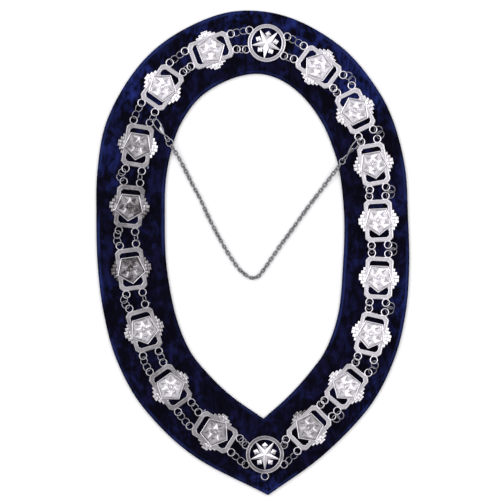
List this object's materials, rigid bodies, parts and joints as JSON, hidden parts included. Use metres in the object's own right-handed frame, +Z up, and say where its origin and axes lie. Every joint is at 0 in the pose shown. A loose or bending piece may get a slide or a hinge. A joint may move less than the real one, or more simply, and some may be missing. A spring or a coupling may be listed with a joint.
{
  "type": "chain collar",
  "caption": "Padded velvet collar band carrying linked pierced metal plaques and two roundels, with a thin clipped safety chain across the neck opening.",
  "frame": {"origin": "centre of the collar's outline, on the table that it lies on", "axes": "+X across the collar to the right of the picture, +Y along it to the back of the neck, +Z up from the table"},
  "size_m": [0.3134, 0.485, 0.0126],
  "materials": {
    "navy_velvet": "dark navy cotton velvet with a short pile",
    "plated_metal": "bright silver coloured plating",
    "ring_metal": "plated wire, a little dull",
    "clip_metal": "bright nickel plating",
    "chain_metal": "grey nickel plating"
  },
  "bodies": {
    "root": {"velvet_backing": "navy_velvet", "roundel_top": "plated_metal", "roundel_bottom": "plated_metal", "plaque_left_1": "plated_metal", "plaque_left_2": "plated_metal", "plaque_left_3": "plated_metal", "plaque_left_4": "plated_metal", "plaque_left_5": "plated_metal", "plaque_left_6": "plated_metal", "plaque_left_7": "plated_metal", "plaque_left_8": "plated_metal", "plaque_right_1": "plated_metal", "plaque_right_2": "plated_metal", "plaque_right_3": "plated_metal", "plaque_right_4": "plated_metal", "plaque_right_5": "plated_metal", "plaque_right_6": "plated_metal", "plaque_right_7": "plated_metal", "plaque_right_8": "plated_metal", "ring_inner_01": "ring_metal", "ring_inner_02": "ring_metal", "ring_inner_03": "ring_metal", "ring_inner_04": "ring_metal", "ring_inner_05": "ring_metal", "ring_inner_06": "ring_metal", "ring_inner_07": "ring_metal", "ring_inner_08": "ring_metal", "ring_inner_09": "ring_metal", "ring_inner_10": "ring_metal", "ring_inner_11": "ring_metal", "ring_inner_12": "ring_metal", "ring_inner_13": "ring_metal", "ring_inner_14": "ring_metal", "ring_inner_15": "ring_metal", "ring_inner_16": "ring_metal", "ring_inner_17": "ring_metal", "ring_inner_18": "ring_metal", "ring_outer_01": "ring_metal", "ring_outer_02": "ring_metal", "ring_outer_03": "ring_metal", "ring_outer_04": "ring_metal", "ring_outer_05": "ring_metal", "ring_outer_06": "ring_metal", "ring_outer_07": "ring_metal", "ring_outer_08": "ring_metal", "ring_outer_09": "ring_metal", "ring_outer_10": "ring_metal", "ring_outer_11": "ring_metal", "ring_outer_12": "ring_metal", "ring_outer_13": "ring_metal", "ring_outer_14": "ring_metal", "ring_outer_15": "ring_metal", "ring_outer_16": "ring_metal", "ring_outer_17": "ring_metal", "ring_outer_18": "ring_metal", "clip_left": "clip_metal", "clip_right": "clip_metal", "end_ring_left": "clip_metal", "end_ring_right": "clip_metal", "safety_chain": "chain_metal"}
  },
  "joints": []
}
